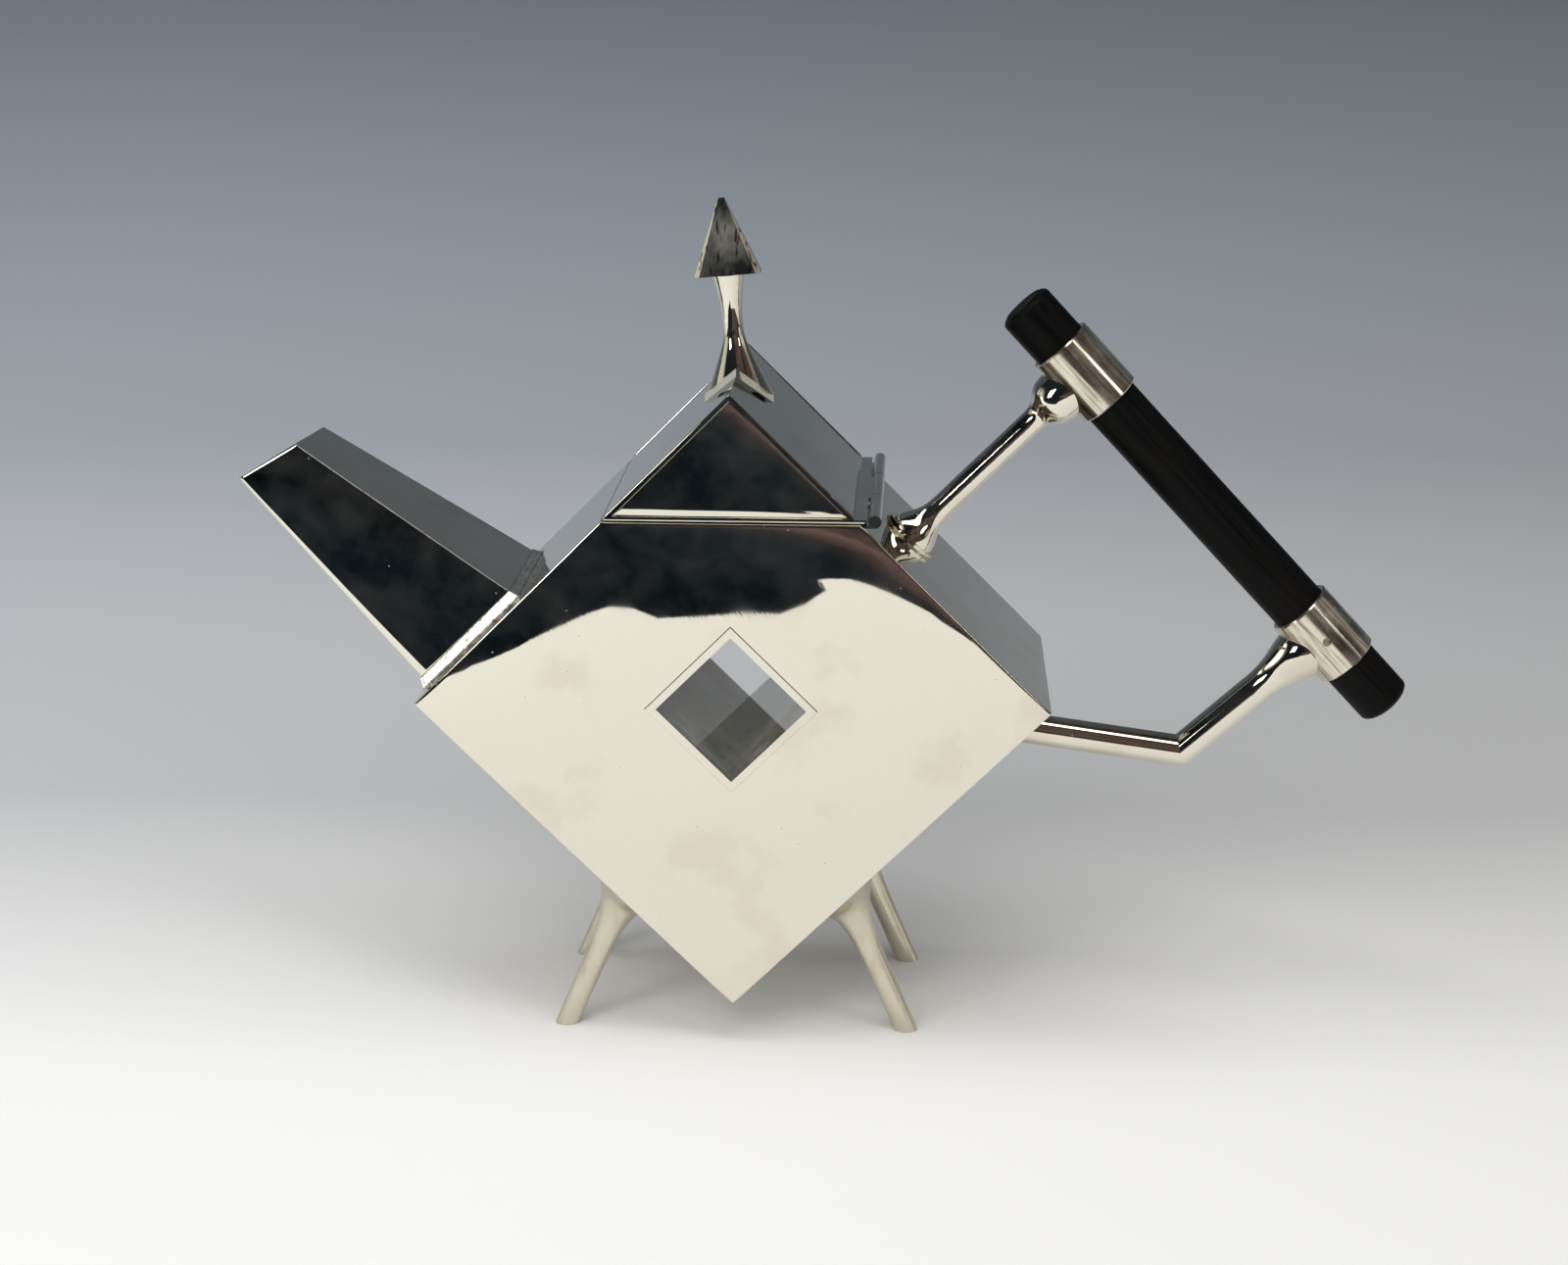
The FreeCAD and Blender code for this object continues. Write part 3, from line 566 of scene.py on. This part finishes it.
beadSkin = addNode(beadTree, "GeometryNodeCurveToMesh", {}, {
    "Curve": beadSteps.outputs["Curve"], "Profile Curve": beadRing.outputs["Curve"],
    "Scale": beadRadius.outputs[0], "Fill Caps": True})
endShapeTree(beadTree, beadSkin.outputs["Mesh"], given)


def ringPath(middle, axis, radius, count=64):
    side = axis.orthogonal().normalized()
    up = axis.cross(side).normalized()
    ring = [middle + (side * math.cos(t) + up * math.sin(t)) * radius
            for t in (2 * math.pi * i / count for i in range(count))]
    return ring + ring[:1]


def boxMiddle(node):
    low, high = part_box(node)
    return (low + high) / 2


# The face is a square on its corner, so its middle is half its width above that corner.
bodyLow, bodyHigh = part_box("front_plate")
centreHeight = bodyLow.z + bodyHigh.x
rightUp, rightDown = Vector((1, 0, 1)).normalized(), Vector((1, 0, -1)).normalized()

# The flange's two ends on the upper left wall, and the spout's two corners on the flange.
flangeLow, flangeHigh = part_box("spout_flange")
flangeFoot = [Vector((flangeLow.z - centreHeight - bodyHigh.x, 0, flangeLow.z)),
              Vector((flangeHigh.x, 0, flangeHigh.x + bodyHigh.x + centreHeight))]
cheekOut = facing("spout_front_panel", Vector((0, -1, 0)))
cheek = panelOutline(nodes["spout_front_panel"].data, cheekOut)
spoutFoot = sorted(cheek, key=lambda p: -p.x)[:2]


def aroundDepth(ends, halfDepth):
    # a rectangle through two points, mirrored about the middle plane
    low, high = ends
    corners = ((low, -1), (high, -1), (high, 1), (low, 1))
    loop = [Vector((point.x, side * halfDepth, point.z)) for point, side in corners]
    return loop + loop[:1]


# Millimetres: a bead's radius and how deep its middle lies in the silver, or a ring's
# radius and place. apexSink is how many sinks deep the bead lies at the roof's apex.
beadLook = {"uneven": 0.7, "lump": 1.6, "step": 0.4, "sides": 10}
lidEdge = {"radius": 0.26, "sink": 0.14, "apexSink": 1.41}
lidHem = {"radius": 0.4, "sink": 0.32}
discRing = {"radius": 6.15, "below": 0.45}
footRing = {"radius": 7.75, "along": 22.2, "across": 18.5}

lidLow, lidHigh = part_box("lid_left_roof")[0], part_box("lid_right_roof")[1]
apex = max(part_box("lid_left_roof")[1].z, lidHigh.z)
hemLow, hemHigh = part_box("lid_base_frame")


def gableEdge(side):
    # along the roof's end, standing a little proud of its slopes
    away = side * (lidHigh.y - lidEdge["radius"] * mm)
    sink = lidEdge["sink"] * mm
    return [Vector((lidLow.x + sink, away, lidLow.z + sink)),
            Vector((0.0, away, apex - sink * lidEdge["apexSink"])),
            Vector((lidHigh.x - sink, away, lidLow.z + sink))]


def hemEdge(side):
    away = side * (hemHigh.y - lidHem["sink"] * mm)
    level = (hemLow.z + hemHigh.z) / 2
    radius = lidHem["radius"] * mm
    return [Vector((hemLow.x + radius, away, level)), Vector((hemHigh.x - radius, away, level))]


def footEdge(out, across):
    # round a foot's root, on the lower wall that it stands on
    along = footRing["along"] * mm
    root = Vector((out * along, across * footRing["across"] * mm, centreHeight - bodyHigh.x + along))
    return ringPath(root, Vector((out, 0, -1)).normalized(), footRing["radius"] * mm)


armDiscs = [(boxMiddle("upper_arm_disc"), rightUp), (boxMiddle("lower_arm_disc"), rightDown)]
beads = {
    "lid_edge_bead": {"radius": lidEdge["radius"], "uneven": 0.15, "body": "lid", "finish": buffedSilver,
                      "paths": [gableEdge(side) for side in (-1, 1)]},
    "lid_hem_bead": {"radius": lidHem["radius"], "uneven": 0.12, "lump": 6.0, "body": "lid",
                     "finish": buffedSilver, "paths": [hemEdge(side) for side in (-1, 1)]},
    "spout_solder": {"radius": 0.2, "paths": [aroundDepth(spoutFoot, abs(spoutFoot[0].y))]},
    "flange_solder": {"radius": 0.22, "paths": [aroundDepth(flangeFoot, flangeHigh.y)]},
    "arm_disc_solder": {"radius": 0.24, "uneven": 0.2, "lump": 4.0, "paths": [
        ringPath(middle - axis * discRing["below"] * mm, axis, discRing["radius"] * mm)
        for middle, axis in armDiscs]},
    "foot_solder": {"radius": 0.22, "paths": [
        footEdge(out, across) for out in (-1, 1) for across in (-1, 1)]},
}
for name, bead in beads.items():
    shapePiece(name, pathMesh(name, bead["paths"]), beadTree, {
        "Radius": bead["radius"] * mm, "Unevenness": bead.get("uneven", beadLook["uneven"]),
        "Lump Size": bead.get("lump", beadLook["lump"]) * mm, "Step": beadLook["step"] * mm,
        "Sides": beadLook["sides"],
    }, bead.get("finish", solder), bead.get("body", "pot"))
print("solder run")


def stageSurface(name, points, faces, material):
    mesh = bpy.data.meshes.new(name)
    mesh.from_pydata(points, [], faces)
    mesh.materials.append(material)
    for face in mesh.polygons:
        face.use_smooth = True
    made = bpy.data.objects.new(name, mesh)
    scene.collection.objects.link(made)
    return made


# Matt paper, rolled down from behind and out under the teapot. Its colour holds painted light: near white
# where the teapot stands, painted shade going grey towards the top, and painted light from the left, so the
# right side is darker and warmer.
paperLook = {
    "halfWidth": 4.0, "front": -3.0, "bendStart": 0.55, "bendRadius": 0.55, "height": 3.0, "steps": 24,
    "paintedFalloffSpan": (-0.2, 1.8), "paintedFalloff": [
        (0.0, "#f1f0ed"), (0.08, "#eeedea"), (0.12, "#d6d5d3"), (0.16, "#bdbdbd"), (0.24, "#bcbdbe"),
        (0.36, "#abaeb2"), (0.5, "#90959b"), (0.66, "#666c73"), (1.0, "#4a5057")],
    "paintedSideSpan": (-0.35, 0.35), "paintedSideTints": ("#ffffff", "#efece8"),
}
paper, paperTree, paperShader = newMaterial("mattPaperSweep", {"Roughness": 0.85, "Specular IOR Level": 0.15})
paperPlace = addNode(paperTree, "ShaderNodeTexCoord").outputs["Object"]
paperApart = addNode(paperTree, "ShaderNodeSeparateXYZ", {}, {"Vector": paperPlace})
paperAlong = addNode(paperTree, "ShaderNodeMath", {"operation": "ADD"}, {
    0: paperApart.outputs["Y"], 1: paperApart.outputs["Z"]})
paperSpan = addNode(paperTree, "ShaderNodeMapRange", {}, {
    "Value": paperAlong.outputs[0],
    "From Min": paperLook["paintedFalloffSpan"][0], "From Max": paperLook["paintedFalloffSpan"][1]})
# painted shade: the paper's colour goes from near white under the teapot to grey towards the top, standing in
# for light falling off away from the lamps
paperPaintedFalloff = addNode(paperTree, "ShaderNodeValToRGB", {}, {"Fac": paperSpan.outputs["Result"]},
                    paperLook["paintedFalloff"])
paperSide = addNode(paperTree, "ShaderNodeMapRange", {}, {
    "Value": paperApart.outputs["X"],
    "From Min": paperLook["paintedSideSpan"][0], "From Max": paperLook["paintedSideSpan"][1]})
# painted light from the left: the paper's colour is white on the left and darker and warmer on the right
paperPaintedSideLight = addNode(paperTree, "ShaderNodeMix", {"data_type": "RGBA"}, {
    0: paperSide.outputs["Result"],
    6: linear(paperLook["paintedSideTints"][0]), 7: linear(paperLook["paintedSideTints"][1])})
# the paper's colour is the painted falloff times the painted side light
paperPaintedLight = addNode(paperTree, "ShaderNodeMix", {"data_type": "RGBA", "blend_type": "MULTIPLY"}, {
    0: 1.0, 6: paperPaintedFalloff.outputs["Color"], 7: paperPaintedSideLight.outputs[2]})
paperTree.links.new(paperPaintedLight.outputs[2], paperShader.inputs["Base Color"])
profile = [(paperLook["front"], 0.0), (paperLook["bendStart"], 0.0)]
for step in range(1, paperLook["steps"] + 1):
    turn = math.pi / 2 * step / paperLook["steps"]
    profile.append((paperLook["bendStart"] + paperLook["bendRadius"] * math.sin(turn),
                    paperLook["bendRadius"] * (1 - math.cos(turn))))
profile.append((profile[-1][0], paperLook["height"]))
stageSurface(
    "paperSweep",
    [(side * paperLook["halfWidth"], y, z) for y, z in profile for side in (-1, 1)],
    [(2 * i, 2 * i + 1, 2 * i + 3, 2 * i + 2) for i in range(len(profile) - 1)], paper)

# Velvet: a dark cloth in front of the table's edge, which only the silver sees. It drinks
# the light, so the tops of the panels go dark; its right end is brown.
clothLook = {
    "cloudScale": 7.0, "cloudShare": 0.07, "across": (1.0, -0.26, 0.0), "span": (0.1, 0.4), "tints": [
        (0.0, "#0c1318"), (0.3, "#191f24"), (0.44, "#292628"), (0.6, "#4f403e"), (0.78, "#5f4d49"),
        (1.0, "#463a37")],
    "level": 0.002, "reach": 4.0, "edge": [
        (-0.13, -0.345), (-0.1, -0.338), (-0.085, -0.346), (-0.075, -0.354), (-0.066, -0.36),
        (-0.056, -0.353), (-0.046, -0.338), (-0.034, -0.341), (-0.02, -0.35), (-0.008, -0.348),
        (0.0, -0.362), (0.008, -0.392), (0.004, -0.42), (0.02, -0.44), (0.06, -0.45)],
    "endEdges": (-0.35, -0.45),
}
cloth, clothTree, clothShader = newMaterial("blackVelvet", {"Roughness": 1.0, "Specular IOR Level": 0.0})
clothPlace = addNode(clothTree, "ShaderNodeTexCoord").outputs["Object"]
clothCloud = addNode(clothTree, "ShaderNodeTexNoise", {}, {
    "Vector": clothPlace, "Scale": clothLook["cloudScale"], "Detail": 4.0})
clothAcross = addNode(clothTree, "ShaderNodeVectorMath", {"operation": "DOT_PRODUCT"}, {
    0: clothPlace, 1: clothLook["across"]})
clothLean = addNode(clothTree, "ShaderNodeMath", {"operation": "MULTIPLY_ADD"}, {
    0: clothCloud.outputs["Fac"], 1: clothLook["cloudShare"], 2: clothAcross.outputs["Value"]})
clothSpan = addNode(clothTree, "ShaderNodeMapRange", {}, {
    "Value": clothLean.outputs[0], "From Min": clothLook["span"][0], "From Max": clothLook["span"][1]})
clothTint = addNode(clothTree, "ShaderNodeValToRGB", {}, {"Fac": clothSpan.outputs["Result"]},
                    clothLook["tints"])
clothTree.links.new(clothTint.outputs["Color"], clothShader.inputs["Base Color"])
clothReach = clothLook["reach"]
clothOutline = [
    (-clothReach, clothLook["endEdges"][0]), *clothLook["edge"], (clothReach, clothLook["endEdges"][1]),
    (clothReach, -clothReach), (-clothReach, -clothReach)]
frontCloth = stageSurface(
    "frontCloth", [(x, y, clothLook["level"]) for x, y in clothOutline],
    [tuple(range(len(clothOutline)))[::-1]], cloth)
frontCloth.visible_camera = False
frontCloth.visible_diffuse = False
frontCloth.visible_shadow = False

# The room: soft grey to the paper, dark to the silver, warmer to the right, with a pale wall
# at each far side.
roomLook = {
    "cloudScale": 3.0, "lean": 0.5, "tints": [
        (0.4, "#10161b"), (0.52, "#23272a"), (0.62, "#4b3d38"), (0.75, "#6b5a52"), (0.9, "#3a312d")],
    "wallSpan": (0.86, 0.95), "wall": "#e8e3d6", "grey": "#b9bcc0", "greyStrength": 1.4, "seenStrength": 0.8,
}
world = bpy.data.worlds.new("studio")
scene.world = world
world.use_nodes = True
room = world.node_tree
room.nodes.clear()
ray = addNode(room, "ShaderNodeLightPath")
roomWay = addNode(room, "ShaderNodeTexCoord").outputs["Generated"]
roomCloud = addNode(room, "ShaderNodeTexNoise", {}, {
    "Vector": roomWay, "Scale": roomLook["cloudScale"], "Detail": 3.0})
roomApart = addNode(room, "ShaderNodeSeparateXYZ", {}, {"Vector": roomWay})
roomLean = addNode(room, "ShaderNodeMath", {"operation": "MULTIPLY_ADD"}, {
    0: roomApart.outputs["X"], 1: roomLook["lean"], 2: roomCloud.outputs["Fac"]})
roomDark = addNode(room, "ShaderNodeValToRGB", {}, {"Fac": roomLean.outputs[0]}, roomLook["tints"])
roomAside = addNode(room, "ShaderNodeMath", {"operation": "ABSOLUTE"}, {0: roomApart.outputs["X"]})
roomSide = addNode(room, "ShaderNodeMapRange", {"interpolation_type": "SMOOTHSTEP"}, {
    "Value": roomAside.outputs[0],
    "From Min": roomLook["wallSpan"][0], "From Max": roomLook["wallSpan"][1]})
roomSeen = addNode(room, "ShaderNodeMix", {"data_type": "RGBA"}, {
    0: roomSide.outputs["Result"], 6: roomDark.outputs["Color"], 7: linear(roomLook["wall"])})
roomMix = addNode(room, "ShaderNodeMix", {"data_type": "RGBA"}, {
    0: ray.outputs["Is Glossy Ray"], 6: linear(roomLook["grey"]), 7: roomSeen.outputs[2]})
roomStrength = addNode(room, "ShaderNodeMapRange", {}, {
    "Value": ray.outputs["Is Glossy Ray"],
    "To Min": roomLook["greyStrength"], "To Max": roomLook["seenStrength"]})
roomGlow = addNode(room, "ShaderNodeBackground", {}, {
    "Color": roomMix.outputs[2], "Strength": roomStrength.outputs["Result"]})
addNode(room, "ShaderNodeOutputWorld", {}, {"Surface": roomGlow.outputs[0]})


# Softboxes: place, what they face, size and watts. The last two light the paper and the
# ebony but are not seen in the silver.
softboxes = {
    "overheadBox": {"place": (-0.2, -0.35, 1.6), "aim": (0.0, 0.0, 0.05), "size": (2.2, 0.4), "watts": 9.0},
    "leftWindow": {"place": (-0.93, -1.12, 0.5), "aim": (0.0, 0.0, 0.1), "size": (0.34, 0.4), "watts": 3.2},
    "rightWindow": {"place": (1.0, -0.85, 0.6), "aim": (0.0, 0.0, 0.1), "size": (0.2, 0.3), "watts": 0.6},
    "frontBox": {"place": (-0.4, -1.7, 1.5), "aim": (0.0, 0.1, 0.0), "size": (1.8, 1.0), "watts": 18.0,
                 "seenInSilver": False},
    "skyBox": {"place": (0.0, 0.3, 2.4), "aim": (0.0, 0.3, 0.0), "size": (3.0, 3.0), "watts": 10.5,
               "colour": "#f8faff", "seenInSilver": False},
}
for name, box in softboxes.items():
    lamp = bpy.data.lights.new(name, "AREA")
    lamp.shape = "RECTANGLE"
    lamp.size, lamp.size_y = box["size"]
    lamp.energy = box["watts"]
    lamp.color = linear(box.get("colour", "#ffffff"))[:3]
    made = bpy.data.objects.new(name, lamp)
    made.location = box["place"]
    made.rotation_euler = (Vector(box["aim"]) - Vector(box["place"])).to_track_quat("-Z", "Y").to_euler()
    made.visible_glossy = box.get("seenInSilver", True)
    made.visible_camera = False
    scene.collection.objects.link(made)

# Lens and sensor in millimetres; tilt and turn in degrees.
cameraLook = {
    "lens": 61.7, "sensor": 36.0, "near": 0.01, "far": 20.0, "place": (0.0373, -0.5349, 0.2361),
    "tilt": 73.784, "turn": 3.02,
}
lens = bpy.data.cameras.new("camera")
lens.lens = cameraLook["lens"]
lens.sensor_width = cameraLook["sensor"]
lens.clip_start, lens.clip_end = cameraLook["near"], cameraLook["far"]
camera = bpy.data.objects.new("camera", lens)
camera.location = cameraLook["place"]
camera.rotation_euler = (math.radians(cameraLook["tilt"]), 0.0, math.radians(cameraLook["turn"]))
scene.collection.objects.link(camera)
scene.camera = camera
scene.view_settings.view_transform = "Standard"

print("stage set")
